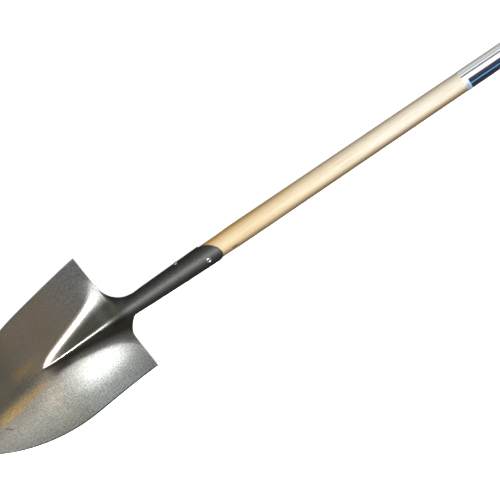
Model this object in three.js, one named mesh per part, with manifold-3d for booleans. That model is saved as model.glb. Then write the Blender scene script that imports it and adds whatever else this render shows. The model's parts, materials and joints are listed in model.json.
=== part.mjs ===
// Round point shovel: a pressed steel head with an open back and a rolled socket, on a long
// straight wooden handle held by two tubular rivets. Millimetres.
//
// Every piece is shaped in the shovel's own axes: X runs along the handle's centreline towards
// the butt, with 0 at the line of the shoulders, Y is across the blade, and Z is the front, the
// face that carries the load. The whole shovel is then laid down on its back.

import * as THREE from 'three';
import { mergeVertices } from 'three/addons/utils/BufferGeometryUtils.js';
import ManifoldModule from 'manifold-3d';

const wasm = await ManifoldModule();
wasm.setup();

const { clamp, degToRad, lerp, smoothstep } = THREE.MathUtils;

// ---- driving dimensions ------------------------------------------------------------------

const SHEET = 1.6;                 // thickness of the steel
const GAP = 0.3;                   // clearance between pieces that touch

const LIFT = degToRad(11);         // angle between the blade and the handle
const HEEL = 25;                   // how far the blade lies behind the centreline at the shoulders
const SHOULDER = 130;              // half the width over the shoulders
const NARROWING = 0.061;           // each side draws in by this much per millimetre
const STRAIGHT_SIDE = 130;         // the straight part of each side
const SIDE_RADIUS = 316;           // the arc that carries each side on to the point
const TIP_RADIUS = 45;             // rounding of the point
const DISH_SHOULDER = 1 / 372;     // rise across the blade is this times y squared, at the shoulders
const DISH_MIDDLE = 1 / 249;       // and this from beyond the frog's apex onwards
const DISH_LENGTH = 180;           // distance over which the first turns into the second
const DISH_EASING = 100;           // how far out the rise has fallen to half of that, so it flattens
const SCOOP = 1 / 3400;            // rise along the blade is this times the distance squared

const FROG_LENGTH = 155;           // from the shoulders to the frog's apex
const FROG_CREST = 15.5;           // height of the crest in front of the centreline, at the shoulders
const FROG_HALF_WIDTH = 75;        // measured round the sheet, at the shoulders
const APEX_BLEND = 1.2;            // softness of the crest's end on the blade
const APEX_BLUNTNESS = 30;         // how full the crest stays before it drops to the apex
const CREST_RADIUS = { apex: 2, shoulder: 15 };
const CREST_EASING = 1.8;          // how late the crest narrows on its way to the apex
const FLANK_DEGREES = { apex: 26, extra: 18, least: 2 };  // steepness: extra is added at the shoulders
const FLANK_EASING = { degrees: 8, reach: 22 };  // but just there it falls off again by this much
const FILLET = { radius: 31, extra: 50, reach: 16 };  // opens out by extra at the shoulders

const NECK_END = 62;               // where the section becomes a full circle
const SHOULDER_DIP = { slope: degToRad(FLANK_EASING.degrees / FLANK_EASING.reach), reach: 8 };
const NECK_ROLL = 1.8;             // how late the neck closes on its way to the socket
const FLANK_GROWTH = 60;           // the flanks grow by their own length over this distance
const WAIST = { x: 34, halfWidth: 33.3 };  // the narrowest part of the sheet
const SOCKET_CLOSED = 75;          // from here on the rolled edges almost meet at the back
const SOCKET_RADIUS = { start: 17.9, mouth: 20.6 };
const MOUTH_SIDE = 181;            // the mouth's edge at the sides and the back
const MOUTH_TONGUE = 32;           // how much further the front of the mouth reaches
const TONGUE_ANGLE = degToRad(95); // the tongue's half width, round the socket
const SEAM = 3;                    // width of the slit at the back of the socket
const TONGUE_ROWS_FROM = 140;      // from here on the rows bend into the shape of the tongue

const HANDLE_SEAT = 78;            // the handle's inner end
const HANDLE_END = 1165;
const HANDLE_RADIUS = { swell: 19.55, grip: 18.05, butt: 18 };
const HANDLE_SWELL = 250;          // where the handle reaches its full radius outside the socket
const HANDLE_GRIP = 800;           // where its taper ends
const BUTT_ROUNDING = 8;
const SEAT_CHAMFER = 3;            // on the handle's inner end
const SEAT_ROWS = [100, 130, 160]; // rows of the handle inside the socket
const HANDLE_SIDES = 40;

const FRONT_RIVET_X = 187;
const SIDE_RIVET_X = 136;
const RIVET = { bore: 1.8, shank: 2.6, head: 4.4, headHeight: 1 };
const ROLLED_RIM = [[1, 0], [1, 0.45], [0.78, 0.9], [0.6, 1]];  // shares of its radius and height
const BORE_RIM = 0.7;              // how high the rim stands where it drops into the bore

const LABEL = { from: 704, to: 864, thickness: 0.2, halfAngle: degToRad(172) };
const LABEL_STEPS = { round: 36, along: 4 };

// ---- the sheet's section -------------------------------------------------------------------

// Distance out along the sheet from the crest, turned into a place across the section. The sheet
// bends round the crest, runs down a straight flank and bends back into the blade.
function acrossSheet(distance, bend) {
  const crestEnd = bend.radius * bend.angle;
  const flankEnd = crestEnd + bend.flank;
  const filletEnd = flankEnd + bend.fillet * bend.angle;
  const onCrest = Math.min(distance, crestEnd) / bend.radius;
  const onFlank = clamp(distance - crestEnd, 0, bend.flank);
  const onFillet = clamp(distance - flankEnd, 0, filletEnd - flankEnd) / bend.fillet;
  const onBlade = Math.max(distance - filletEnd, 0);
  const left = bend.angle - onFillet;
  return {
    y: bend.radius * Math.sin(onCrest) + onFlank * Math.cos(bend.angle)
      + bend.fillet * (Math.sin(bend.angle) - Math.sin(left)) + onBlade,
    drop: bend.radius * (1 - Math.cos(onCrest)) + onFlank * Math.sin(bend.angle)
      + bend.fillet * (Math.cos(left) - Math.cos(bend.angle)),
  };
}

// Where the fillet has come back to the blade, measured round the sheet.
function foot(bend) {
  return (bend.radius + bend.fillet) * bend.angle + bend.flank;
}

// ---- the blade -----------------------------------------------------------------------------

const shoulderCrest = (FROG_CREST + HEEL) / Math.cos(LIFT);

// Height of the frog's crest above the blade.
function crestHeight(along) {
  const u = along / FROG_LENGTH;
  const scoop = SCOOP * FROG_LENGTH ** 2;
  const height = (1 - u) * (shoulderCrest + scoop * u + APEX_BLUNTNESS * u ** 6);
  return (height + Math.sqrt(height ** 2 + APEX_BLEND ** 2)) / 2;
}

// The frog's bend: flanks steepest in the middle, a narrow crest at the apex that widens towards
// the neck, and a fillet that opens out at the shoulders.
function frogBend(along) {
  const u = along / FROG_LENGTH;
  const height = crestHeight(along);
  const toApex = Math.max(1 - u, 0);
  const radius = CREST_RADIUS.apex + (CREST_RADIUS.shoulder - CREST_RADIUS.apex) * toApex ** CREST_EASING;
  const fillet = FILLET.radius + FILLET.extra * Math.exp(-along / FILLET.reach);
  const falling = FLANK_EASING.degrees * Math.exp(-along / FLANK_EASING.reach);
  const slope = FLANK_DEGREES.apex + FLANK_DEGREES.extra * (1 - u ** 3) - falling;
  const steepness = Math.max(slope, FLANK_DEGREES.least);
  const steepest = Math.acos(1 - Math.min(height / (radius + fillet), 1));
  const angle = Math.min(degToRad(steepness), steepest);
  const flank = (height - (radius + fillet) * (1 - Math.cos(angle))) / Math.sin(angle);
  return { radius, fillet, angle, flank: Math.max(flank, 0) };
}

// Half the blade's width: a straight side, a long arc and the rounded point.
const sideAngle = Math.atan(NARROWING);
const arcCentre = {
  along: STRAIGHT_SIDE - SIDE_RADIUS * Math.sin(sideAngle),
  across: SHOULDER - NARROWING * STRAIGHT_SIDE - SIDE_RADIUS * Math.cos(sideAngle),
};
const centreDistance = SIDE_RADIUS - TIP_RADIUS;
const tipCentre = arcCentre.along + Math.sqrt(centreDistance ** 2 - arcCentre.across ** 2);
const tipStart = arcCentre.along + SIDE_RADIUS * (tipCentre - arcCentre.along) / centreDistance;

function halfWidth(along) {
  if (along <= STRAIGHT_SIDE) return SHOULDER - NARROWING * along;
  if (along <= tipStart) {
    return arcCentre.across + Math.sqrt(SIDE_RADIUS ** 2 - (along - arcCentre.along) ** 2);
  }
  return Math.sqrt(Math.max(TIP_RADIUS ** 2 - (along - tipCentre) ** 2, 0));
}

function dish(along) {
  return lerp(DISH_SHOULDER, DISH_MIDDLE, smoothstep(along, 0, DISH_LENGTH));
}

// How far the blade rises beside its middle: quickly at first, then flatter to the edge.
function dishHeight(rate, y) {
  return rate * y ** 2 / (1 + (y / DISH_EASING) ** 2);
}

// A point of the front face: x, z of the crest, then down and across the section's own plane.
function place(crestX, crestZ, tilt, y, drop) {
  return new THREE.Vector3(crestX - drop * Math.sin(tilt), y, crestZ - drop * Math.cos(tilt));
}

function bladePoint(along, distance) {
  const bend = frogBend(along);
  const size = Math.abs(distance);
  const { y, drop } = acrossSheet(size, bend);
  const rise = crestHeight(along) + SCOOP * along ** 2;
  const crestX = -along * Math.cos(LIFT) + rise * Math.sin(LIFT);
  const crestZ = -HEEL + along * Math.sin(LIFT) + rise * Math.cos(LIFT);
  return place(crestX, crestZ, LIFT, Math.sign(distance) * y, drop - dishHeight(dish(along), y));
}

// Distances from the crest at which a row of the blade is sampled: close together over the frog
// and wider on the plain blade beside it.
const FROG_COLUMNS = 11;
const BLADE_COLUMNS = 3;
const FROG_CROWDING = 0.7;         // how much closer the samples lie near the crest
const FROG_MARGIN = 2;             // the close samples reach this far past the fillet's foot
const INNER_SHARE = { least: 0.3, most: 0.6 };  // of half the blade that has close samples

function crowded(t, crowding) {
  return t * (1 - crowding + crowding * t);
}

function bladeDistances(along) {
  const bend = frogBend(along);
  const width = halfWidth(along);
  const inner = along === 0 ? FROG_HALF_WIDTH
    : Math.min(Math.max(foot(bend) + FROG_MARGIN, INNER_SHARE.least * width), FROG_HALF_WIDTH);
  const footY = acrossSheet(foot(bend), bend).y;
  const edge = foot(bend) + width - footY;
  const innerEdge = Math.min(inner, INNER_SHARE.most * edge);
  const distances = [];
  for (let j = 0; j <= FROG_COLUMNS; j++) {
    distances.push(innerEdge * crowded(j / FROG_COLUMNS, FROG_CROWDING));
  }
  for (let j = 1; j <= BLADE_COLUMNS; j++) {
    distances.push(lerp(innerEdge, edge, j / BLADE_COLUMNS));
  }
  return distances;
}

// ---- the neck and the socket ---------------------------------------------------------------

const crestStart = shoulderCrest * Math.sin(LIFT);

function socketRadius(x) {
  const t = clamp((x - NECK_END) / (MOUTH_SIDE - NECK_END), 0, 1);
  return lerp(SOCKET_RADIUS.start, SOCKET_RADIUS.mouth, t);
}

// Half the sheet's width round the section: it draws in from the shoulders to the waist and
// widens again until the two edges almost meet behind the handle.
function sheetHalfWidth(x) {
  if (x < WAIST.x) {
    const t = (WAIST.x - x) / (WAIST.x - crestStart);
    return WAIST.halfWidth + (FROG_HALF_WIDTH - WAIST.halfWidth) * (1 - Math.sqrt(1 - t * t));
  }
  const closed = Math.PI * socketRadius(x) - SEAM / 2;
  return lerp(WAIST.halfWidth, closed, smoothstep(x, WAIST.x, SOCKET_CLOSED));
}

function neckPoint(x, distance) {
  const t = clamp((x - crestStart) / (NECK_END - crestStart), 0, 1);
  const start = frogBend(0);
  const past = x - crestStart;
  const dip = SHOULDER_DIP.slope * past * Math.exp(-past / SHOULDER_DIP.reach);
  const bend = {
    radius: t < 1 ? lerp(start.radius, SOCKET_RADIUS.start, t) : socketRadius(x),
    angle: lerp(start.angle, Math.PI, t ** NECK_ROLL) - dip,
    flank: start.flank * (1 + past / FLANK_GROWTH),
    fillet: start.fillet,
  };
  const crestZ = t < 1 ? lerp(FROG_CREST, SOCKET_RADIUS.start, t) : bend.radius;
  const { y, drop } = acrossSheet(Math.abs(distance), bend);
  const dishLeft = DISH_SHOULDER * (1 - smoothstep(t, 0, 1));
  const tilt = LIFT * (1 - smoothstep(t, 0, 1));
  return place(x, crestZ, tilt, Math.sign(distance) * y, drop - dishHeight(dishLeft, y));
}

// The mouth's edge: a parabolic tongue at the front, square at the sides and the back.
function mouthX(distance) {
  const turned = Math.abs(distance) / SOCKET_RADIUS.mouth / TONGUE_ANGLE;
  return MOUTH_SIDE + MOUTH_TONGUE * Math.max(1 - turned ** 2, 0);
}

// ---- meshes --------------------------------------------------------------------------------

// A surface given as rows of points becomes a sheet: a front face, a back face one thickness
// behind it, and a rim wherever the front face ends. Rows run towards the butt, and the points
// of a row run towards +Y. A shorter row joins the middle of the longer one before it. The
// diagonals are mirrored about the middle column, so that both halves are alike.
function sheetGeometry(rows, thickness) {
  const points = [];
  const numbered = rows.map((row) => row.map((point) => points.push(point) - 1));
  const triangles = [];
  for (let i = 1; i < numbered.length; i++) {
    const before = numbered[i - 1];
    const after = numbered[i];
    const skip = (before.length - after.length) / 2;
    const middle = (after.length - 1) / 2;
    for (let j = 1; j < after.length; j++) {
      const [a, b] = [before[skip + j - 1], before[skip + j]];
      const [c, d] = [after[j - 1], after[j]];
      if (j > middle) triangles.push([a, c, d], [a, d, b]);
      else triangles.push([a, c, b], [b, c, d]);
    }
  }
  const normals = vertexNormals(points, triangles);
  const count = points.length;
  const position = points.map((point) => point.clone());
  points.forEach((point, i) => position.push(point.clone().addScaledVector(normals[i], -thickness)));
  const index = [];
  const edges = new Set();
  for (const [a, b, c] of triangles) {
    index.push(a, b, c, c + count, b + count, a + count);
    for (const [from, to] of [[a, b], [b, c], [c, a]]) edges.add(`${from} ${to}`);
  }
  for (const edge of edges) {
    const [from, to] = edge.split(' ').map(Number);
    if (edges.has(`${to} ${from}`)) continue;
    index.push(to, from, from + count, to, from + count, to + count);
  }
  const geometry = new THREE.BufferGeometry().setFromPoints(position);
  geometry.setIndex(index);
  return geometry;
}

function vertexNormals(points, triangles) {
  const normals = points.map(() => new THREE.Vector3());
  for (const [a, b, c] of triangles) {
    const ab = points[b].clone().sub(points[a]);
    const ac = points[c].clone().sub(points[a]);
    const normal = ab.cross(ac);
    for (const corner of [a, b, c]) normals[corner].add(normal);
  }
  return normals.map((normal) => normal.normalize());
}

// A row from a list of distances, mirrored to the other side of the crest.
function mirroredRow(distances, pointAt) {
  const inner = distances.slice(1);
  return [...inner.map((d) => -d).reverse(), 0, ...inner].map(pointAt);
}

function steps(from, to, count) {
  return Array.from({ length: count }, (_, i) => lerp(from, to, (i + 1) / count));
}

// Turns a shape drawn round Y into one round X.
function lathedAlongX(profile, segments) {
  const geometry = new THREE.LatheGeometry(profile, segments);
  geometry.rotateZ(-Math.PI / 2);
  return geometry;
}

function solid(geometry) {
  const bare = geometry.clone();
  bare.deleteAttribute('normal');
  bare.deleteAttribute('uv');
  const merged = mergeVertices(bare, 1e-3);
  return new wasm.Manifold(new wasm.Mesh({
    numProp: 3,
    vertProperties: new Float32Array(merged.attributes.position.array),
    triVerts: new Uint32Array(merged.index.array),
  }));
}

function withHoles(geometry, holes) {
  const result = holes.reduce((body, hole) => body.subtract(solid(hole)), solid(geometry));
  const { vertProperties, triVerts } = result.getMesh();
  const cut = new THREE.BufferGeometry();
  cut.setAttribute('position', new THREE.BufferAttribute(vertProperties, 3));
  cut.setIndex(new THREE.BufferAttribute(triVerts, 1));
  return cut;
}

function named(name, geometry, color, roughness, metalness) {
  geometry.computeVertexNormals();
  const material = new THREE.MeshStandardMaterial({ color, roughness, metalness });
  const mesh = new THREE.Mesh(geometry, material);
  mesh.name = name;
  return mesh;
}

// ---- pieces --------------------------------------------------------------------------------

const RIVET_SIDES = 20;
const HOLE_LENGTH = 4 * SOCKET_RADIUS.mouth;  // longer than the socket is thick

function rivetHole(length, x, acrossBlade) {
  const radius = RIVET.shank + GAP;
  const hole = new THREE.CylinderGeometry(radius, radius, length, RIVET_SIDES);
  if (!acrossBlade) hole.rotateX(Math.PI / 2);
  hole.translate(x, 0, 0);
  return hole;
}

const rivetHoles = () => [
  rivetHole(HOLE_LENGTH, FRONT_RIVET_X, false),
  rivetHole(HOLE_LENGTH, SIDE_RIVET_X, true),
];

// Rows of samples from the shoulders to the rounded point, closest together round the apex.
const BLADE_ROWS = [{ to: 110, count: 12 }, { to: 175, count: 11 }, { to: tipStart, count: 9 }];
const TIP_ROWS = { to: degToRad(84), count: 6 };

// Blade, frog, neck and socket are pressed and rolled from one sheet.
function shovelHead() {
  const tipFrom = Math.asin((tipStart - tipCentre) / TIP_RADIUS);
  const tipAngles = steps(tipFrom, TIP_ROWS.to, TIP_ROWS.count);
  const stations = [0];
  for (const { to, count } of BLADE_ROWS) stations.push(...steps(stations.at(-1), to, count));
  stations.push(...tipAngles.map((angle) => tipCentre + TIP_RADIUS * Math.sin(angle)));
  stations.reverse();
  const rows = stations.map((along) => (
    mirroredRow(bladeDistances(along), (d) => bladePoint(along, d))
  ));
  const neck = [...steps(crestStart, WAIST.x, 7), ...steps(WAIST.x, SOCKET_CLOSED, 6)];
  const socket = steps(SOCKET_CLOSED, TONGUE_ROWS_FROM, 3);
  for (const x of [...neck, ...socket]) {
    const crowding = FROG_CROWDING * clamp((SOCKET_CLOSED - x) / SOCKET_CLOSED, 0, 1);
    rows.push(sheetRow(crowding, () => x));
  }
  for (const t of steps(0, 1, 4)) {
    rows.push(sheetRow(0, (d) => lerp(TONGUE_ROWS_FROM, mouthX(d), t)));
  }
  const sheet = sheetGeometry(rows, SHEET);
  return named('shovel_head', withHoles(sheet, rivetHoles()), 0x5f6163, 0.38, 0.9);
}

function sheetRow(crowding, xAt) {
  const edge = sheetHalfWidth(xAt(0));
  const distances = Array.from({ length: FROG_COLUMNS + 1 }, (_, j) => (
    edge * crowded(j / FROG_COLUMNS, crowding)
  ));
  return mirroredRow(distances, (d) => neckPoint(xAt(d), d));
}

// The handle's seat follows the inside of the socket; outside it the wood swells a little,
// tapers towards the grip and ends in a rounded butt with a small flat.
function handleRadius(x) {
  const inSocket = socketRadius(x) - SHEET - GAP;
  const mouth = MOUTH_SIDE + MOUTH_TONGUE;
  if (x <= mouth) return inSocket;
  if (x <= HANDLE_SWELL) {
    const t = smoothstep(x, mouth, HANDLE_SWELL);
    return lerp(inSocket, HANDLE_RADIUS.swell, t);
  }
  if (x <= HANDLE_GRIP) {
    const t = (x - HANDLE_SWELL) / (HANDLE_GRIP - HANDLE_SWELL);
    return lerp(HANDLE_RADIUS.swell, HANDLE_RADIUS.grip, t);
  }
  const t = (x - HANDLE_GRIP) / (HANDLE_END - HANDLE_GRIP);
  return lerp(HANDLE_RADIUS.grip, HANDLE_RADIUS.butt, t);
}

function handle() {
  const buttFrom = HANDLE_END - BUTT_ROUNDING;
  const places = [
    HANDLE_SEAT + SEAT_CHAMFER, ...SEAT_ROWS, MOUTH_SIDE, MOUTH_SIDE + MOUTH_TONGUE,
    ...steps(MOUTH_SIDE + MOUTH_TONGUE, HANDLE_SWELL, 5),
    HANDLE_GRIP, buttFrom,
  ];
  const buttRadius = handleRadius(buttFrom) - BUTT_ROUNDING;
  const profile = [
    new THREE.Vector2(0, HANDLE_SEAT),
    new THREE.Vector2(handleRadius(HANDLE_SEAT) - SEAT_CHAMFER, HANDLE_SEAT),
    ...places.map((x) => new THREE.Vector2(handleRadius(x), x)),
    ...steps(0, Math.PI / 2, 5).map((angle) => new THREE.Vector2(
      buttRadius + BUTT_ROUNDING * Math.cos(angle),
      buttFrom + BUTT_ROUNDING * Math.sin(angle),
    )),
    new THREE.Vector2(0, HANDLE_END),
  ];
  const body = withHoles(lathedAlongX(profile, HANDLE_SIDES), rivetHoles());
  return named('handle', body, 0xe2c48f, 0.42, 0);
}

// A tubular rivet: a hollow shank with a rounded rim rolled over at each end.
function rivet(name, seatHigh, seatLow) {
  const { bore, shank, head, headHeight } = RIVET;
  const rim = (seat, way) => [
    [shank, seat],
    ...ROLLED_RIM.map(([out, up]) => [out * head, seat + way * up * headHeight]),
    [bore, seat + way * BORE_RIM * headHeight],
  ];
  const outline = [...rim(seatHigh, 1).reverse(), ...rim(seatLow, -1)];
  outline.push(outline[0]);
  const profile = outline.reverse().map(([radius, height]) => new THREE.Vector2(radius, height));
  const geometry = new THREE.LatheGeometry(profile, RIVET_SIDES);
  return named(name, geometry, 0xb9bcc0, 0.35, 1);
}

function frontRivet() {
  const seatHigh = socketRadius(FRONT_RIVET_X) + GAP;
  const seatLow = -handleRadius(FRONT_RIVET_X) - GAP;
  const piece = rivet('front_rivet', seatHigh, seatLow);
  piece.rotation.x = Math.PI / 2;
  piece.position.x = FRONT_RIVET_X;
  return piece;
}

function sideRivet() {
  const seat = socketRadius(SIDE_RIVET_X) + GAP;
  const piece = rivet('side_rivet', seat, -seat);
  piece.position.x = SIDE_RIVET_X;
  return piece;
}

// A thin printed label wrapped round the handle, its ends almost meeting at the back.
function handleLabel() {
  const around = steps(-LABEL.halfAngle, LABEL.halfAngle, LABEL_STEPS.round);
  const rows = [LABEL.from, ...steps(LABEL.from, LABEL.to, LABEL_STEPS.along)].map((x) => {
    const radius = handleRadius(x) + GAP + LABEL.thickness;
    return [-LABEL.halfAngle, ...around].map((angle) => (
      new THREE.Vector3(x, radius * Math.sin(angle), radius * Math.cos(angle))
    ));
  });
  return named('handle_label', sheetGeometry(rows, LABEL.thickness), 0xe9edf2, 0.4, 0);
}

// ---- the shovel, laid on its back ----------------------------------------------------------

const shovel = new THREE.Group();
shovel.add(shovelHead(), handle(), frontRivet(), sideRivet(), handleLabel());

// It rests on the two heels of the blade and on the butt, so it turns about Y until they are level.
shovel.updateMatrixWorld(true);
const headBox = new THREE.Box3().setFromObject(shovel.children[0], true);
shovel.rotation.y = Math.atan2(-headBox.min.z - HANDLE_RADIUS.butt, HANDLE_END - BUTT_ROUNDING);

shovel.updateMatrixWorld(true);
const box = new THREE.Box3().setFromObject(shovel, true);
shovel.position.set(-(box.min.x + box.max.x) / 2, -(box.min.y + box.max.y) / 2, -box.min.z);

export default shovel;
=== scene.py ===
import json
import math

import bpy
import numpy as np
from mathutils import Matrix, Vector


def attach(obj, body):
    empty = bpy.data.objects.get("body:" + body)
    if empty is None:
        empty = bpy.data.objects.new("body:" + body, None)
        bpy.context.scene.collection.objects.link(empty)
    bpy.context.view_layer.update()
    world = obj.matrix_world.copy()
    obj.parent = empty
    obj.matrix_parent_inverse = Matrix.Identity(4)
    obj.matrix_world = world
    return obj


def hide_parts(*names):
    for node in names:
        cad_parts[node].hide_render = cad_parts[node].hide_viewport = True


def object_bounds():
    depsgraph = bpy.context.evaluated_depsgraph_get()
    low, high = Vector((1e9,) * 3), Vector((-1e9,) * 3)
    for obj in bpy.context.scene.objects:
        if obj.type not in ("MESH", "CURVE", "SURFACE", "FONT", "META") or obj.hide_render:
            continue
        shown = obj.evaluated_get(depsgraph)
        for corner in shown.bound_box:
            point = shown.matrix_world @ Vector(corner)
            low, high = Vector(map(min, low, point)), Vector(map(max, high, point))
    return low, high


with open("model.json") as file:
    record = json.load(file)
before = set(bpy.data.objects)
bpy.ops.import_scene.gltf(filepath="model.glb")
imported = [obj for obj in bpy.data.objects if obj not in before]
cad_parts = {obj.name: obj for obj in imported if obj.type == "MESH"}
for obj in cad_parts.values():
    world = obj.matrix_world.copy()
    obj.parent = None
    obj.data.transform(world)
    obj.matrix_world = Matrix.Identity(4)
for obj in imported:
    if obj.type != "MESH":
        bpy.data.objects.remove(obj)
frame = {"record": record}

cad_low, cad_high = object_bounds()

# Round point shovel. The head's shape is worked out in the shovel's own axes, in millimetres:
# X along the handle's centreline towards the butt, with 0 at the line of the shoulders, Y across
# the blade, Z out of its front. OWN_AXES then carries it into the frame, in metres.

MM = 0.001

SHEET = 1.6
LIFT = math.radians(11)
HEEL = 25
SHOULDER = 130
NARROWING = 0.061
STRAIGHT_SIDE = 130
SIDE_RADIUS = 316
TIP_RADIUS = 45
DISH_SHOULDER = 1 / 372
DISH_MIDDLE = 1 / 249
DISH_LENGTH = 180
DISH_EASING = 100
SCOOP = 1 / 3400

FROG_LENGTH = 155
FROG_CREST = 15.5
FROG_HALF_WIDTH = 75
APEX_BLEND = 1.2
APEX_BLUNTNESS = 30
CREST_RADIUS_APEX = 2
CREST_RADIUS_SHOULDER = 15
CREST_EASING = 1.8                 # how late the crest narrows on its way to the apex
FLANK_APEX = 26                    # steepness of the flanks in degrees, at the apex
FLANK_EXTRA = 18                   # added to it at the shoulders
FLANK_LEAST = 2
FLANK_EASING = 8                   # but just at the shoulders it falls off again by this much
FLANK_EASING_REACH = 22
FILLET = 31
FILLET_EXTRA = 50                  # how much the fillet opens out at the shoulders
FILLET_REACH = 16

NECK_END = 62
SHOULDER_DIP = math.radians(FLANK_EASING / FLANK_EASING_REACH)  # slope of the dip past them
SHOULDER_DIP_REACH = 8
NECK_ROLL = 1.8                    # how late the neck closes on its way to the socket
FLANK_GROWTH = 60                  # the flanks grow by their own length over this distance
WAIST_X = 34
WAIST_HALF_WIDTH = 33.3
SOCKET_CLOSED = 75
SOCKET_RADIUS_START = 17.9
SOCKET_RADIUS_MOUTH = 20.6
MOUTH_SIDE = 181
MOUTH_TONGUE = 32
TONGUE_ANGLE = math.radians(95)
SEAM = 3
TONGUE_ROWS_FROM = 140

HANDLE_SEAT = 78
HANDLE_END = 1165
HANDLE_SWELL = 250
HANDLE_GRIP = 800
SWELL_RADIUS = 19.55
GRIP_RADIUS = 18.05
BUTT_RADIUS = 18
BUTT_ROUNDING = 8
SEAT_CHAMFER = 3
GAP = 0.3

FRONT_RIVET_X = 187
SIDE_RIVET_X = 136
RIVET_BORE = 1.8
RIVET_SHANK = 2.6
RIVET_HEAD = 4.4
RIVET_HEIGHT = 1
LABEL_FROM = 704
LABEL_TO = 864
LABEL_ANGLE = 172
LABEL_THICKNESS = 0.2
KNOT = (0.236, -0.0078, 0.018)     # metres, in the shovel's own axes
SCRATCH = (0.1527, 0.2065, 0)      # brings the scratch to the middle of its turned axes


def own_axes():
    """The shovel's own axes in the frame, found from the record's mount on the butt."""
    mounts = {mount["name"]: mount for mount in frame["record"]["mounts"]}
    butt = Vector(mounts["handle_butt"]["pos_m"])
    along = Vector(mounts["handle_butt"]["axis"]).normalized()
    across = Vector((0, 1, 0))
    front = along.cross(across).normalized()
    matrix = Matrix((along, across, front)).transposed().to_4x4()
    matrix.translation = butt - along * HANDLE_END * MM
    return matrix


OWN_AXES = own_axes()


def to_frame(points):
    """Own axes in millimetres to the frame in metres, for an array of points."""
    matrix = np.array(OWN_AXES)
    return points * MM @ matrix[:3, :3].T + matrix[:3, 3]


# ---- camera ----------------------------------------------------------------------------------

CAMERA_AIM = (261, -23, 0)         # in the shovel's own axes
CAMERA_DISTANCE = 2904
CAMERA_AZIMUTH = math.radians(171.55)
CAMERA_ELEVATION = math.radians(62.13)
CAMERA_ROLL = math.radians(153.39)
CAMERA_LENS = 123.6


def make_camera():
    level = math.cos(CAMERA_ELEVATION)
    back = Vector((
        math.sin(CAMERA_AZIMUTH) * level,
        -math.cos(CAMERA_AZIMUTH) * level,
        math.sin(CAMERA_ELEVATION),
    ))
    turn = (-back).to_track_quat("-Z", "Y").to_matrix().to_4x4() @ Matrix.Rotation(CAMERA_ROLL, 4, "Z")
    place = Matrix.Translation((Vector(CAMERA_AIM) + back * CAMERA_DISTANCE) * MM)
    data = bpy.data.cameras.new("camera")
    data.lens = CAMERA_LENS
    data.sensor_width = 36
    data.clip_start = 0.05
    data.clip_end = 60
    camera = bpy.data.objects.new("camera", data)
    camera.matrix_world = OWN_AXES @ place @ turn
    bpy.context.scene.collection.objects.link(camera)
    bpy.context.scene.camera = camera


# ---- the sheet's shape -----------------------------------------------------------------------

def smoothstep(x, low, high):
    t = np.clip((x - low) / (high - low), 0, 1)
    return t * t * (3 - 2 * t)


def mix(a, b, t):
    return a + (b - a) * t


def across_sheet(distance, radius, angle, flank, fillet):
    """Distance out along the sheet from the crest, turned into (y, drop): round the crest, down a
    straight flank and back into the blade through a fillet."""
    crest_end = radius * angle
    flank_end = crest_end + flank
    fillet_end = flank_end + fillet * angle
    on_crest = np.minimum(distance, crest_end) / radius
    on_flank = np.clip(distance - crest_end, 0, flank)
    on_fillet = np.clip(distance - flank_end, 0, fillet_end - flank_end) / fillet
    on_blade = np.maximum(distance - fillet_end, 0)
    left = angle - on_fillet
    y = radius * np.sin(on_crest) + on_flank * np.cos(angle) + on_blade
    y = y + fillet * (np.sin(angle) - np.sin(left))
    drop = radius * (1 - np.cos(on_crest)) + on_flank * np.sin(angle)
    drop = drop + fillet * (np.cos(left) - np.cos(angle))
    return y, drop


SHOULDER_CREST = (FROG_CREST + HEEL) / math.cos(LIFT)
CREST_START = SHOULDER_CREST * math.sin(LIFT)


def crest_height(along):
    """Height of the frog's crest above the blade."""
    u = along / FROG_LENGTH
    height = (1 - u) * (SHOULDER_CREST + SCOOP * FROG_LENGTH ** 2 * u + APEX_BLUNTNESS * u ** 6)
    return (height + math.hypot(height, APEX_BLEND)) / 2


def frog_bend(along):
    """The frog's section: crest radius, flank angle, flank length and fillet radius."""
    u = along / FROG_LENGTH
    height = crest_height(along)
    radius = mix(CREST_RADIUS_APEX, CREST_RADIUS_SHOULDER, max(1 - u, 0) ** CREST_EASING)
    fillet = FILLET + FILLET_EXTRA * math.exp(-along / FILLET_REACH)
    falling = FLANK_EASING * math.exp(-along / FLANK_EASING_REACH)
    steepness = max(FLANK_APEX + FLANK_EXTRA * (1 - u ** 3) - falling, FLANK_LEAST)
    steepest = math.acos(1 - min(height / (radius + fillet), 1))
    angle = min(math.radians(steepness), steepest)
    flank = (height - (radius + fillet) * (1 - math.cos(angle))) / math.sin(angle)
    return radius, angle, max(flank, 0), fillet


def foot(bend):
    """Where the fillet has come back to the blade, measured round the sheet."""
    radius, angle, flank, fillet = bend
    return (radius + fillet) * angle + flank


SIDE_ANGLE = math.atan(NARROWING)
ARC_ALONG = STRAIGHT_SIDE - SIDE_RADIUS * math.sin(SIDE_ANGLE)
ARC_ACROSS = SHOULDER - NARROWING * STRAIGHT_SIDE - SIDE_RADIUS * math.cos(SIDE_ANGLE)
TIP_CENTRE = ARC_ALONG + math.sqrt((SIDE_RADIUS - TIP_RADIUS) ** 2 - ARC_ACROSS ** 2)
TIP_START = ARC_ALONG + SIDE_RADIUS * (TIP_CENTRE - ARC_ALONG) / (SIDE_RADIUS - TIP_RADIUS)


def half_width(along):
    """Half the blade's width: a straight side, a long arc and the rounded point."""
    if along <= STRAIGHT_SIDE:
        return SHOULDER - NARROWING * along
    if along <= TIP_START:
        return ARC_ACROSS + math.sqrt(SIDE_RADIUS ** 2 - (along - ARC_ALONG) ** 2)
    return math.sqrt(max(TIP_RADIUS ** 2 - (along - TIP_CENTRE) ** 2, 0))


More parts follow.
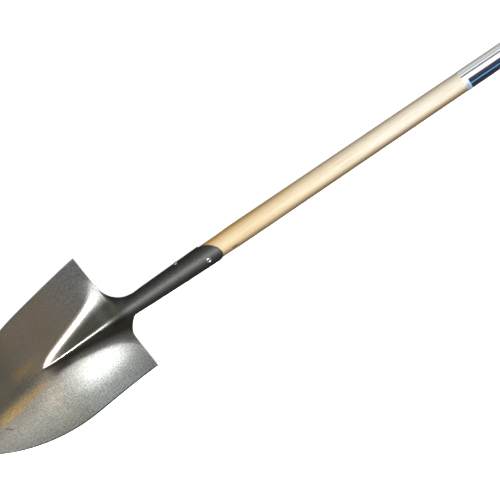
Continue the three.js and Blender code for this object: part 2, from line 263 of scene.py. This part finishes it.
def dish_height(dish, y):
    """How far the blade rises beside its middle: quickly at first, then flatter to the edge."""
    return dish * y ** 2 / (1 + (y / DISH_EASING) ** 2)


def place(crest_x, crest_z, tilt, side, y, drop):
    x = crest_x - drop * np.sin(tilt)
    z = crest_z - drop * np.cos(tilt)
    return np.stack([x + 0 * y, side * y, z + 0 * y], axis=-1)


def blade_row(along, distance):
    y, drop = across_sheet(np.abs(distance), *frog_bend(along))
    rise = crest_height(along) + SCOOP * along ** 2
    crest_x = -along * math.cos(LIFT) + rise * math.sin(LIFT)
    crest_z = -HEEL + along * math.sin(LIFT) + rise * math.cos(LIFT)
    dish = mix(DISH_SHOULDER, DISH_MIDDLE, smoothstep(along, 0, DISH_LENGTH))
    return place(crest_x, crest_z, LIFT, np.sign(distance), y, drop - dish_height(dish, y))


FROG_COLUMNS = 44
BLADE_COLUMNS = 26
FROG_CROWDING = 0.6                # how much closer the samples lie near the crest
FROG_MARGIN = 2                    # the close samples reach this far past the fillet's foot
INNER_LEAST = 0.3                  # least and greatest share of half the blade that has them
INNER_MOST = 0.6


def crowded(count, crowding):
    t = np.arange(count + 1) / count
    return t * (1 - crowding + crowding * t)


def mirrored(distances):
    return np.concatenate([-distances[:0:-1], distances])


def blade_distances(along):
    """Where a row is sampled: close together over the frog, wider on the plain blade beside it."""
    bend = frog_bend(along)
    width = half_width(along)
    inner = min(max(foot(bend) + FROG_MARGIN, INNER_LEAST * width), FROG_HALF_WIDTH)
    if along == 0:
        inner = FROG_HALF_WIDTH
    foot_y, _ = across_sheet(np.array(foot(bend)), *bend)
    edge = foot(bend) + width - float(foot_y)
    inner_edge = min(inner, INNER_MOST * edge)
    outer = inner_edge + (edge - inner_edge) * np.arange(1, BLADE_COLUMNS + 1) / BLADE_COLUMNS
    return mirrored(np.concatenate([inner_edge * crowded(FROG_COLUMNS, FROG_CROWDING), outer]))


def socket_radius(x):
    t = np.clip((x - NECK_END) / (MOUTH_SIDE - NECK_END), 0, 1)
    return mix(SOCKET_RADIUS_START, SOCKET_RADIUS_MOUTH, t)


def sheet_half_width(x):
    """Half the sheet's width round the section, from the shoulders in to the waist and out again."""
    if x < WAIST_X:
        t = (WAIST_X - x) / (WAIST_X - CREST_START)
        return mix(WAIST_HALF_WIDTH, FROG_HALF_WIDTH, 1 - math.sqrt(max(1 - t * t, 0)))
    closed = math.pi * socket_radius(x) - SEAM / 2
    return mix(WAIST_HALF_WIDTH, closed, smoothstep(x, WAIST_X, SOCKET_CLOSED))


def neck_row(x, distance):
    """Points of the neck and socket. x is one value for each distance."""
    t = np.clip((x - CREST_START) / (NECK_END - CREST_START), 0, 1)
    start_radius, start_angle, start_flank, fillet = frog_bend(0)
    past = x - CREST_START
    in_neck = t < 1
    radius = np.where(in_neck, mix(start_radius, SOCKET_RADIUS_START, t), socket_radius(x))
    dip = SHOULDER_DIP * past * np.exp(-past / SHOULDER_DIP_REACH)
    angle = mix(start_angle, math.pi, t ** NECK_ROLL) - dip
    flank = start_flank * (1 + past / FLANK_GROWTH)
    crest_z = np.where(in_neck, mix(FROG_CREST, SOCKET_RADIUS_START, t), radius)
    y, drop = across_sheet(np.abs(distance), radius, angle, flank, fillet)
    dish = DISH_SHOULDER * (1 - smoothstep(t, 0, 1))
    tilt = LIFT * (1 - smoothstep(t, 0, 1))
    return place(x, crest_z, tilt, np.sign(distance), y, drop - dish_height(dish, y))


def mouth_x(distance):
    """The mouth's edge: a parabolic tongue at the front, square at the sides and the back."""
    turned = np.abs(distance) / SOCKET_RADIUS_MOUTH / TONGUE_ANGLE
    return MOUTH_SIDE + MOUTH_TONGUE * np.maximum(1 - turned ** 2, 0)


def blade_stations():
    tip_from = math.asin((TIP_START - TIP_CENTRE) / TIP_RADIUS)
    tip = TIP_CENTRE + TIP_RADIUS * np.sin(np.linspace(tip_from, math.radians(84), 25)[1:])
    stations = [
        np.linspace(0, 175, 111),
        np.linspace(175, TIP_START, 56)[1:],
        tip,
    ]
    return np.concatenate(stations)[::-1]


CREST_LIGHTER = 0.75                        # how much less of the frog's dark colour the crest gets than the flanks
CREST_LIGHTER_FROM = 45                     # it begins here, in distance from the shoulders
CREST_LIGHTER_FULL = 110
DARKENING_REACH_LEFT = 0.3            # share of each fillet that the dark colour covers, partly a dark finish and partly painted shade
DARKENING_REACH_RIGHT = 0.8


def on_frog(along, distance):
    """1 on the frog's flanks, whose dark colour is partly a dark finish and partly painted shade, less
    on its crest, falling to 0 early in the left fillet and near the end of the right one."""
    radius, angle, flank, fillet = frog_bend(along)
    flank_end = radius * angle + flank
    reach = np.where(distance > 0, DARKENING_REACH_LEFT, DARKENING_REACH_RIGHT) * fillet * angle
    covered = 1 - smoothstep(np.abs(distance), flank_end - 0.35 * flank, flank_end + reach)
    crest_end = radius * angle
    crest_part = 1 - smoothstep(np.abs(distance), 0.5 * crest_end, 1.1 * crest_end)
    return covered * (1 - CREST_LIGHTER * crest_part * smoothstep(along, CREST_LIGHTER_FROM, CREST_LIGHTER_FULL))


def head_rows():
    """The front face, row by row from the point to the mouth, and two masks for the material: the
    dark colour of the frog, the neck and the socket, partly a dark finish and partly painted shade,
    and the blade's right-hand rim."""
    rows = []
    frog = []
    rim = []
    for along in blade_stations():
        distance = blade_distances(along)
        rows.append(blade_row(along, distance))
        frog.append(on_frog(along, distance))
        rim.append((distance == distance.min()).astype(float))
    places = np.concatenate([
        np.linspace(CREST_START, WAIST_X, 31)[1:],
        np.linspace(WAIST_X, SOCKET_CLOSED, 31)[1:],
        np.linspace(SOCKET_CLOSED, TONGUE_ROWS_FROM, 27)[1:],
    ])
    for x in places:
        crowding = FROG_CROWDING * max((SOCKET_CLOSED - x) / SOCKET_CLOSED, 0)
        distance = mirrored(sheet_half_width(x) * crowded(FROG_COLUMNS, crowding))
        rows.append(neck_row(np.full_like(distance, x), distance))
        frog.append(np.ones_like(distance))
        rim.append(np.zeros_like(distance))
    for t in np.linspace(0, 1, 29)[1:]:
        half = sheet_half_width(mix(TONGUE_ROWS_FROM, MOUTH_SIDE + MOUTH_TONGUE, t))
        distance = mirrored(half * crowded(FROG_COLUMNS, 0))
        rows.append(neck_row(mix(TONGUE_ROWS_FROM, mouth_x(distance), t), distance))
        frog.append(np.ones_like(distance))
        rim.append(np.zeros_like(distance))
    return rows, {"frog": frog, "rim": rim}


# ---- mesh helpers ----------------------------------------------------------------------------

def add_object(name, mesh):
    piece = bpy.data.objects.new(name, mesh)
    bpy.context.scene.collection.objects.link(piece)
    return piece


def mesh_from_rows(name, rows, closed=False):
    """One face between each pair of neighbouring points of neighbouring rows, given in the shovel's
    own axes. A shorter row joins the middle of the longer one before it."""
    points = np.concatenate(rows)
    starts = np.cumsum([0] + [len(row) for row in rows])
    faces = []
    for i in range(1, len(rows)):
        before, after = len(rows[i - 1]), len(rows[i])
        skip = starts[i - 1] + (before - after) // 2
        for j in range(1, after):
            a, b = skip + j - 1, skip + j
            c, d = starts[i] + j - 1, starts[i] + j
            faces.append((a, c, d, b))
        if closed:
            faces.append((skip + after - 1, starts[i] + after - 1, starts[i], skip))
    mesh = bpy.data.meshes.new(name)
    mesh.from_pydata(to_frame(points).tolist(), [], faces)
    mesh.validate()
    mesh.shade_smooth()
    return add_object(name, mesh)


def apply_modifiers(piece):
    """Leaves the piece with the mesh that its modifiers make."""
    depsgraph = bpy.context.evaluated_depsgraph_get()
    mesh = bpy.data.meshes.new_from_object(piece.evaluated_get(depsgraph))
    piece.modifiers.clear()
    old = piece.data
    piece.data = mesh
    bpy.data.meshes.remove(old)


def thicken(piece, thickness, rim):
    """Turns a front face into a sheet whose rims are slightly rounded."""
    solidify = piece.modifiers.new("sheet", "SOLIDIFY")
    solidify.thickness = thickness * MM
    solidify.offset = -1
    solidify.use_even_offset = True
    bevel = piece.modifiers.new("rim", "BEVEL")
    bevel.width = rim * MM
    bevel.segments = 2
    bevel.limit_method = "ANGLE"
    bevel.angle_limit = math.radians(50)
    apply_modifiers(piece)
    piece.data.shade_smooth()


# ---- materials -------------------------------------------------------------------------------

class Nodes:
    """Short calls for building a material's nodes."""

    def __init__(self, name):
        self.material = bpy.data.materials.new(name)
        self.material.use_nodes = True
        self.tree = self.material.node_tree
        self.shader = self.tree.nodes["Principled BSDF"]

    def add(self, kind, **inputs):
        node = self.tree.nodes.new(kind)
        for name, value in inputs.items():
            self.set(node, name, value)
        return node

    def set(self, node, name, value):
        socket = node.inputs[int(name[1:])] if name[0] == "i" and name[1:].isdigit() else None
        socket = socket or node.inputs[name.replace("_", " ")]
        if isinstance(value, bpy.types.NodeSocket):
            self.tree.links.new(value, socket)
        else:
            socket.default_value = value

    def coordinates(self):
        return self.add("ShaderNodeTexCoord").outputs["Object"]

    def own_coordinates(self, scale=(1, 1, 1)):
        """Metres from the middle of the shoulder line, along the handle, across and out."""
        origin = OWN_AXES.translation
        node = self.add("ShaderNodeVectorMath", i0=self.coordinates(), i1=tuple(-origin))
        if scale == (1, 1, 1):
            return node.outputs[0]
        return self.add("ShaderNodeMapping", Vector=node.outputs[0], Scale=scale).outputs[0]

    def split(self, vector):
        return self.add("ShaderNodeSeparateXYZ", Vector=vector).outputs

    def blend(self, factor, a, b):
        """a where the factor is 0, b where it is 1."""
        return self.math("ADD", a, self.math("MULTIPLY", factor, self.math("SUBTRACT", b, a)))

    def noise(self, vector, scale, detail=2.0, roughness=0.5, distortion=0.0):
        node = self.add("ShaderNodeTexNoise", Vector=vector, Scale=scale, Detail=detail,
                        Roughness=roughness, Distortion=distortion)
        return node.outputs["Fac"]

    def math(self, operation, a, b=0.0, c=0.0):
        node = self.add("ShaderNodeMath", i0=a, i1=b, i2=c)
        node.operation = operation
        return node.outputs[0]

    def span(self, value, low, high, to_low=0.0, to_high=1.0):
        node = self.add("ShaderNodeMapRange", Value=value)
        for name, number in zip(("From Min", "From Max", "To Min", "To Max"),
                                (low, high, to_low, to_high)):
            self.set(node, name, number)
        node.interpolation_type = "SMOOTHSTEP"
        return node.outputs[0]

    def band(self, value, low, high, soft):
        """1 between low and high, fading over soft to both sides of each."""
        return self.math("MULTIPLY", self.span(value, low - soft, low + soft),
                         self.span(value, high + soft, high - soft))

    def attribute(self, name):
        node = self.add("ShaderNodeAttribute")
        node.attribute_name = name
        return node.outputs["Fac"]

    def mix(self, factor, a, b):
        node = self.tree.nodes.new("ShaderNodeMix")
        node.data_type = "RGBA"
        for socket, value in ((node.inputs[0], factor), (node.inputs[6], a), (node.inputs[7], b)):
            if isinstance(value, bpy.types.NodeSocket):
                self.tree.links.new(value, socket)
            else:
                socket.default_value = value
        return node.outputs[2]

    def ramp(self, value, *stops):
        node = self.add("ShaderNodeValToRGB", Fac=value)
        elements = node.color_ramp.elements
        while len(elements) < len(stops):
            elements.new(0.5)
        for element, (position, colour) in zip(elements, stops):
            element.position = position
            element.color = colour
        return node.outputs["Color"]

    def bump(self, height, strength, distance, normal=None):
        node = self.add("ShaderNodeBump", Height=height, Strength=strength, Distance=distance)
        if normal is not None:
            self.set(node, "Normal", normal)
        return node.outputs[0]


def rgb(red, green, blue):
    return (red, green, blue, 1.0)


GOLD_HAZE = 0.5                    # strength of the gold tint around its streak
SPOT_STRENGTH = 0.6                # and of the small gold spot on the left


def steel_material():
    """Blasted sheet steel with heat tints, darker and more satin on the frog, neck and socket, the dark
    colour partly a finish and partly painted shade; with painted light on the right-hand plate and a
    painted shade patch beside the point.
    """
    n = Nodes("blasted_steel")
    place = n.own_coordinates()
    x, y, _ = n.split(place)
    # where the dark colour goes: partly a dark finish, partly painted shade on the frog's flanks
    frog = n.attribute("frog")
    neck = n.span(x, -0.05, 0.03)

    # tints, with painted light on the right-hand plate, and darker towards the point
    cloud = n.noise(place, 9, detail=3)
    streaks = n.noise(n.own_coordinates((5, 20, 5)), 1.6, detail=2, roughness=0.5)
    # the right-hand plate is paler and greener: partly its own tint, partly painted light round the
    # bright patch there
    right = n.math("MULTIPLY", n.span(y, -0.05, -0.09), n.band(x, -0.14, -0.02, 0.02))
    pale = n.mix(right, rgb(0.50, 0.505, 0.49), rgb(0.70, 0.74, 0.71))
    olive = n.math("MULTIPLY", n.band(x, -0.2, -0.12, 0.03), n.span(y, -0.05, -0.075))
    pale = n.mix(n.math("MULTIPLY", olive, 0.7), pale, rgb(0.50, 0.49, 0.40))
    warm_side = n.math("MULTIPLY", n.span(x, 0.0, -0.11), n.span(y, -0.09, 0.06))
    warmth = n.math("MULTIPLY", warm_side, n.span(cloud, 0.3, 0.6, 0.5, 1))
    haze = n.math("MULTIPLY", n.band(x, -0.265, -0.145, 0.03), n.band(y, -0.057, 0.03, 0.03))
    haze = n.math("MULTIPLY", haze, GOLD_HAZE)
    streak = n.math("MULTIPLY", n.band(x, -0.26, -0.16, 0.02), n.band(y, -0.029, -0.012, 0.009))
    left_spot = n.math("MULTIPLY", n.band(x, -0.195, -0.158, 0.014), n.band(y, 0.014, 0.032, 0.01))
    haze = n.math("MULTIPLY", haze, n.span(streaks, 0.36, 0.58, 0.25, 1))
    gold = n.math("MAXIMUM", streak, n.math("MULTIPLY", left_spot, SPOT_STRENGTH))
    gold = n.math("MULTIPLY", gold, n.span(streaks, 0.36, 0.58, 0.7, 1))
    colour = n.mix(warmth, pale, rgb(0.49, 0.41, 0.30))
    colour = n.mix(haze, colour, rgb(0.80, 0.61, 0.34))
    colour = n.mix(n.span(x, -0.15, -0.21, 0, 0.65), colour, rgb(0.27, 0.26, 0.22))
    colour = n.mix(n.math("MULTIPLY", gold, 0.85), colour, rgb(0.80, 0.54, 0.22))
    # the dark colour: partly a dark satin finish, partly painted shade for the dark surroundings the
    # frog's flanks reflect; the band at the shoulder line is painted shade over a reflection; browner on
    # the right
    frog_colour = n.mix(neck, rgb(0.12, 0.119, 0.1), rgb(0.088, 0.09, 0.084))
    frog_colour = n.mix(n.band(x, -0.014, 0.019, 0.012), frog_colour, rgb(0.042, 0.042, 0.035))
    frog_colour = n.mix(n.span(y, -0.002, -0.016), frog_colour, rgb(0.085, 0.068, 0.055))
    colour = n.mix(n.math("MULTIPLY", frog, n.span(x, -0.16, -0.1, 0.6, 1)), colour, frog_colour)
    # painted shade: a dark brown patch right of the point, where the steel reflects dark surroundings
    shade = n.math("MULTIPLY", n.band(x, -0.145, -0.105, 0.012), n.band(y, -0.026, -0.012, 0.005))
    colour = n.mix(n.math("MULTIPLY", shade, 0.75), colour, rgb(0.13, 0.10, 0.08))

    # blasted grain, finest where the steel is warm or dark
    grain = n.noise(place, 450, detail=3, roughness=0.65)
    coarse = n.math("MULTIPLY", n.span(warmth, 0, 1, 1, 0.35), n.span(frog, 0, 1, 1, 0.55))
    speck = n.math("MULTIPLY", n.span(grain, 0.36, 0.64, -0.3, 0.3), coarse)
    colour = n.add("ShaderNodeHueSaturation", Color=colour, Value=n.math("ADD", speck, 1)).outputs[0]

    # a scratch, and a dark line along the blade's right-hand rim
    scratch = n.add("ShaderNodeMapping", Vector=place, Rotation=(0, 0, math.radians(45)))
    scratch.inputs["Location"].default_value = SCRATCH
    along, across, _ = n.split(scratch.outputs[0])
    scratch = n.math("MULTIPLY", n.band(along, -0.006, 0.006, 0.001),
                     n.band(across, -0.0008, 0.0008, 0.0004))
    colour = n.mix(n.math("MULTIPLY", scratch, 0.85), colour, rgb(0.06, 0.055, 0.05))
    colour = n.mix(n.span(n.attribute("rim"), 0.1, 0.6), colour, rgb(0.035, 0.03, 0.06))

    n.set(n.shader, "Base Color", colour)
    n.shader.inputs["Metallic"].default_value = 1.0
    left_shoulder = n.math("MULTIPLY", n.span(x, -0.04, -0.004), n.band(y, 0.036, 0.082, 0.014))
    blade_roughness = n.span(cloud, 0.3, 0.7, 0.27, 0.32)
    blade_roughness = n.math("ADD", blade_roughness, n.math("MULTIPLY", left_shoulder, 0.24))
    frog_roughness = n.span(neck, 0, 1, 0.34, 0.6)
    n.set(n.shader, "Roughness", n.blend(frog, blade_roughness, frog_roughness))
    n.set(n.shader, "Normal", n.bump(grain, n.math("MULTIPLY", coarse, 0.9), 0.0004))
    return n.material


def wood_material():
    """Pale straight-grained wood under clear varnish: long fibres, fine pores, broad soft bands,
    one small knot, with painted shade: darker and warmer next to the socket, on the left side and
    along both edges."""
    n = Nodes("varnished_wood")
    place = n.own_coordinates()
    x, y, z = n.split(place)
    turn = n.math("ARCTAN2", y, z)

    waver = n.noise(n.own_coordinates((2, 2, 2)), 1, detail=1)
    bands = n.noise(n.own_coordinates((1.2, 60, 60)), 1, detail=2)
    fibres = n.noise(n.own_coordinates((14, 520, 520)), 1, detail=4, roughness=0.65)
    pores = n.noise(n.own_coordinates((60, 1500, 1500)), 1, detail=2)

    # painted shade: darker and warmer towards the socket, for the light falling off there
    near_socket = n.span(x, 0.6, 0.18)
    pale = n.mix(near_socket, rgb(0.80, 0.75, 0.62), rgb(0.71, 0.59, 0.38))
    deep = n.mix(near_socket, rgb(0.74, 0.60, 0.38), rgb(0.62, 0.36, 0.11))
    # painted shade: deeper colour on the left side
    left_side = n.math("MULTIPLY", n.span(turn, 0.8, 1.5), n.span(near_socket, 0, 1, 0.4, 1))
    colour = n.mix(n.math("MAXIMUM", left_side, n.span(bands, 0.4, 0.7, 0, 0.5)), pale, deep)
    # painted shade along the left edge
    left_edge = n.math("MULTIPLY", n.span(turn, 1.75, 2.0), n.span(near_socket, 0, 1, 0.15, 0.6))
    colour = n.mix(left_edge, colour, rgb(0.40, 0.2, 0.06))
    # painted shade: dark brown towards the right-hand side
    colour = n.mix(n.span(turn, 0.1, -0.6, 0, 0.92), colour, rgb(0.21, 0.135, 0.055))
    colour = n.mix(n.span(fibres, 0.48, 0.72, 0, 0.4), colour, rgb(0.50, 0.33, 0.16))
    colour = n.mix(n.span(pores, 0.62, 0.75, 0, 0.5), colour, rgb(0.34, 0.21, 0.10))

    # the knot
    from_knot = n.add("ShaderNodeVectorMath", i0=place, i1=tuple(-Vector(KNOT)))
    from_knot = n.add("ShaderNodeVectorMath", i0=from_knot.outputs[0], i1=(0.45, 1, 1))
    from_knot.operation = "MULTIPLY"
    length = n.add("ShaderNodeVectorMath", i0=from_knot.outputs[0])
    length.operation = "LENGTH"
    knot = n.span(length.outputs["Value"], 0.0045, 0.0012)
    colour = n.mix(n.math("MULTIPLY", knot, 0.85), colour, rgb(0.16, 0.085, 0.03))

    n.set(n.shader, "Base Color", colour)
    n.set(n.shader, "Roughness", n.span(fibres, 0.3, 0.7, 0.5, 0.62))
    n.shader.inputs["Specular IOR Level"].default_value = 0.2
    n.shader.inputs["Coat Weight"].default_value = 0.05
    n.set(n.shader, "Coat Roughness", n.span(waver, 0.3, 0.7, 0.4, 0.5))
    n.set(n.shader, "Normal", n.bump(fibres, 0.4, 0.00015))
    return n.material


def rivet_material():
    """Bright plated steel with fine turning marks and a few dents."""
    n = Nodes("plated_steel")
    place = n.own_coordinates()
    marks = n.noise(place, 2500, detail=3)
    dents = n.noise(place, 900, detail=1)
    colour = n.ramp(marks, (0.3, rgb(0.62, 0.62, 0.61)), (0.7, rgb(0.85, 0.85, 0.84)))
    n.set(n.shader, "Base Color", colour)
    n.shader.inputs["Metallic"].default_value = 1.0
    n.set(n.shader, "Roughness", n.span(marks, 0.3, 0.7, 0.28, 0.42))
    n.set(n.shader, "Normal", n.bump(dents, 0.5, 0.0002))
    return n.material


def label_material():
    """A printed film with plain straight bands along the handle and no pattern or lettering: a wide
    dark band with one thin light line in it, and two thin lines beside it."""
    n = Nodes("printed_film")
    place = n.own_coordinates()
    x, y, z = n.split(place)
    turn = n.math("ARCTAN2", y, z)
    scuffs = n.noise(place, 700, detail=3)
    from_start = n.math("SUBTRACT", x, LABEL_FROM * MM)

    colour = n.mix(n.band(turn, -2.7, 1.17, 0.03), rgb(0.84, 0.86, 0.82), rgb(0.86, 0.87, 0.89))
    blue_line = n.math("MULTIPLY", n.band(turn, 1.16, 1.26, 0.04), 0.6)
    colour = n.mix(blue_line, colour, rgb(0.13, 0.19, 0.27))
    colour = n.mix(n.band(turn, 0.86, 0.98, 0.03), colour, rgb(0.045, 0.016, 0.024))
    start_patch = n.math("MULTIPLY", n.span(turn, 0.5, -0.3), n.span(from_start, 0.009, 0.006))
    colour = n.mix(start_patch, colour, rgb(0.28, 0.42, 0.60))
    dark_band = n.math("MULTIPLY", n.band(turn, -0.8, 0.42, 0.03), n.span(from_start, 0.008, 0.009))
    colour = n.mix(dark_band, colour, rgb(0.016, 0.02, 0.045))
    light_line = n.math("MULTIPLY", n.band(turn, -0.16, -0.04, 0.02), dark_band)
    colour = n.mix(light_line, colour, rgb(0.10, 0.37, 0.62))
    colour = n.mix(n.span(turn, -0.78, -0.86), colour, rgb(0.22, 0.25, 0.30))
    colour = n.mix(n.span(scuffs, 0.66, 0.74, 0, 0.35), colour, rgb(0.6, 0.62, 0.64))
    n.set(n.shader, "Base Color", colour)
    n.set(n.shader, "Roughness", n.span(scuffs, 0.4, 0.7, 0.3, 0.45))
    n.set(n.shader, "Normal", n.bump(scuffs, 0.15, 0.0001))
    return n.material


FLOOR_GLOW = 1.0                   # a light table, so that the shovel casts no dark shadow
FLOOR_HALF_SIZE = 12


def floor_material():
    n = Nodes("pale_floor")
    place = n.coordinates()
    shade = n.noise(place, 3, detail=2)
    colour = n.ramp(shade, (0.3, rgb(0.93, 0.93, 0.92)), (0.7, rgb(0.96, 0.96, 0.955)))
    n.set(n.shader, "Base Color", colour)
    n.set(n.shader, "Emission Color", colour)
    n.shader.inputs["Emission Strength"].default_value = FLOOR_GLOW
    n.shader.inputs["Roughness"].default_value = 0.9
    return n.material


# ---- pieces ----------------------------------------------------------------------------------

def moved_rows(rows, matrix):
    """Rows of points carried by a matrix given in millimetres."""
    matrix = np.array(matrix)
    return [row @ matrix[:3, :3].T + matrix[:3, 3] for row in rows]


def finish_piece(piece, material, node):
    piece.data.materials.clear()
    piece.data.materials.append(material)
    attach(piece, "root")
    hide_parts(node)


def make_head():
    rows, masks = head_rows()
    head = mesh_from_rows("shovel_head_sheet", rows)
    for name, values in masks.items():
        attribute = head.data.attributes.new(name, "FLOAT", "POINT")
        attribute.data.foreach_set("value", np.concatenate(values))
    smooth = head.modifiers.new("relax", "CORRECTIVE_SMOOTH")
    smooth.iterations = 12
    smooth.use_only_smooth = True
    smooth.use_pin_boundary = True
    thicken(head, SHEET, 0.3)
    finish_piece(head, steel_material(), "shovel_head")


def handle_radius(x):
    in_socket = socket_radius(x) - SHEET - GAP
    mouth = MOUTH_SIDE + MOUTH_TONGUE
    outside = np.interp(
        x, [HANDLE_SWELL, HANDLE_GRIP, HANDLE_END], [SWELL_RADIUS, GRIP_RADIUS, BUTT_RADIUS]
    )
    return mix(in_socket, outside, smoothstep(x, mouth, HANDLE_SWELL))


def ring(x, radius, sides=96):
    angle = np.arange(sides) * 2 * math.pi / sides
    return np.stack([np.full(sides, x), radius * np.sin(angle), radius * np.cos(angle)], axis=-1)


def make_handle():
    butt_from = HANDLE_END - BUTT_ROUNDING
    rows = [ring(HANDLE_SEAT, 0.01), ring(HANDLE_SEAT, handle_radius(HANDLE_SEAT) - SEAT_CHAMFER)]
    places = np.concatenate([
        np.linspace(HANDLE_SEAT + SEAT_CHAMFER, MOUTH_SIDE, 12),
        np.linspace(MOUTH_SIDE, HANDLE_SWELL, 24)[1:],
        np.linspace(HANDLE_SWELL, butt_from, 90)[1:],
    ])
    rows += [ring(x, handle_radius(x)) for x in places]
    flat = handle_radius(butt_from) - BUTT_ROUNDING
    for angle in np.linspace(0, math.pi / 2, 13)[1:]:
        rows.append(ring(butt_from + BUTT_ROUNDING * math.sin(angle),
                         flat + BUTT_ROUNDING * math.cos(angle)))
    rows.append(ring(HANDLE_END, 0.01))
    handle = mesh_from_rows("handle_wood", rows, closed=True)
    finish_piece(handle, wood_material(), "handle")


def rim_profile(seat, way):
    """One rolled rim of a tubular rivet, from the shank out, over the top and down its bore."""
    points = [(RIVET_SHANK, seat), (RIVET_HEAD - 0.15, seat)]
    middle = (RIVET_HEAD + RIVET_BORE) / 2
    reach = (RIVET_HEAD - RIVET_BORE) / 2
    for angle in np.linspace(0, math.pi, 15):
        points.append((middle + reach * math.cos(angle),
                       seat + way * RIVET_HEIGHT * (0.25 + 0.75 * math.sin(angle) ** 0.8)))
    points.append((RIVET_BORE, seat - way * 0.6))
    return points


def make_rivet(name, node, seat_high, seat_low, x, across_blade, material):
    profile = rim_profile(seat_high, 1) + rim_profile(seat_low, -1)[::-1]
    profile.append(profile[0])
    turned = [ring(height, radius, 48) for radius, height in profile]
    way = Matrix.Rotation(math.radians(90 if across_blade else -90), 4, "Z" if across_blade else "Y")
    rivet = mesh_from_rows(name, moved_rows(turned, Matrix.Translation((x, 0, 0)) @ way), closed=True)
    finish_piece(rivet, material, node)


def make_rivets():
    steel = rivet_material()
    make_rivet("front_rivet_tube", "front_rivet", socket_radius(FRONT_RIVET_X) + GAP,
               -handle_radius(FRONT_RIVET_X) - GAP, FRONT_RIVET_X, False, steel)
    seat = socket_radius(SIDE_RIVET_X) + GAP
    make_rivet("side_rivet_tube", "side_rivet", seat, -seat, SIDE_RIVET_X, True, steel)


def make_label():
    """A printed film wrapped round the handle, its ends almost meeting at the back."""
    angles = np.radians(np.linspace(-LABEL_ANGLE, LABEL_ANGLE, 181))
    rows = []
    for x in np.linspace(LABEL_FROM, LABEL_TO, 33):
        radius = handle_radius(x) + GAP + LABEL_THICKNESS
        rows.append(np.stack([np.full_like(angles, x), radius * np.sin(angles), radius * np.cos(angles)],
                             axis=-1))
    label = mesh_from_rows("handle_label_film", rows)
    thicken(label, LABEL_THICKNESS, 0.05)
    finish_piece(label, label_material(), "handle_label")


# ---- floor and light -------------------------------------------------------------------------

def make_floor():
    mesh = bpy.data.meshes.new("floor")
    size = FLOOR_HALF_SIZE
    corners = [(-size, -size), (size, -size), (size, size), (-size, size)]
    mesh.from_pydata([(x, y, cad_low.z) for x, y in corners], [], [(0, 1, 2, 3)])
    floor = add_object("floor", mesh)
    mesh.materials.append(floor_material())
    floor.visible_glossy = False
    floor.visible_diffuse = False


def towards(lean, turn):
    """A direction that leans from the blade's front towards the butt and turns about the handle's
    axis towards +Y, both in degrees, in the frame."""
    lean, turn = math.radians(lean), math.radians(turn)
    own = Vector((math.sin(lean), math.cos(lean) * math.sin(turn), math.cos(lean) * math.cos(turn)))
    return OWN_AXES.to_3x3() @ own


def aim(light, target, lean, turn, distance):
    """Faces a light at a point given in the shovel's own axes, its X side across the blade."""
    way = towards(lean, turn)
    across = OWN_AXES.to_3x3() @ Vector((0, 1, 0))
    along = way.cross(across).normalized()
    matrix = Matrix((along.cross(way), along, way)).transposed().to_4x4()
    matrix.translation = OWN_AXES @ (Vector(target) * MM) + way * distance
    light.matrix_world = matrix
    bpy.context.scene.collection.objects.link(light)


def soft_box(name, target, lean, turn, distance, size, power):
    data = bpy.data.lights.new(name, "AREA")
    data.shape = "RECTANGLE"
    data.size, data.size_y = size
    data.energy = power
    aim(bpy.data.objects.new(name, data), target, lean, turn, distance)


def spot(name, target, lean, turn, distance, width, length, softness, power):
    """A spotlight whose oval pool is width across the blade and length along it."""
    data = bpy.data.lights.new(name, "SPOT")
    data.energy = power
    data.shadow_soft_size = softness
    data.spot_size = 2 * math.atan(length / 2 / distance)
    data.spot_blend = 1
    light = bpy.data.objects.new(name, data)
    aim(light, target, lean, turn, distance)
    light.matrix_world = light.matrix_world @ Matrix.Diagonal((width / length, 1, 1, 1))


LAMP_DISTANCE = 3.5
WORLD_STRENGTH = 0.14
ON_BLADE = (-70, 20, 0)            # what the key and fill lamps face, in the shovel's own axes
ON_RIGHT_PAN = (-70, -80, 0)
ON_HANDLE = (650, 0, 0)
ON_RIGHT_PLATE = (-76, -54, -10)


def make_lights():
    world = bpy.data.worlds.new("studio")
    world.use_nodes = True
    background = world.node_tree.nodes["Background"]
    background.inputs["Color"].default_value = rgb(1, 1, 1)
    background.inputs["Strength"].default_value = WORLD_STRENGTH
    bpy.context.scene.world = world
    soft_box("key", ON_BLADE, -7, 14, LAMP_DISTANCE, (0.5, 0.45), 150)
    soft_box("fill", ON_BLADE, 20, -55, LAMP_DISTANCE, (2.0, 2.4), 2.2)
    soft_box("pan_fill", ON_RIGHT_PAN, 22, 0, LAMP_DISTANCE, (0.8, 0.8), 1.6)
    soft_box("left_fill", ON_HANDLE, 0, 76, LAMP_DISTANCE, (1.2, 2.0), 14)
    spot("blade_accent", ON_RIGHT_PLATE, 23, -12, LAMP_DISTANCE, 0.05, 0.14, 0.02, 100)
    bpy.context.scene.view_settings.view_transform = "Standard"


make_camera()
make_head()
make_handle()
make_rivets()
make_label()
make_floor()
make_lights()
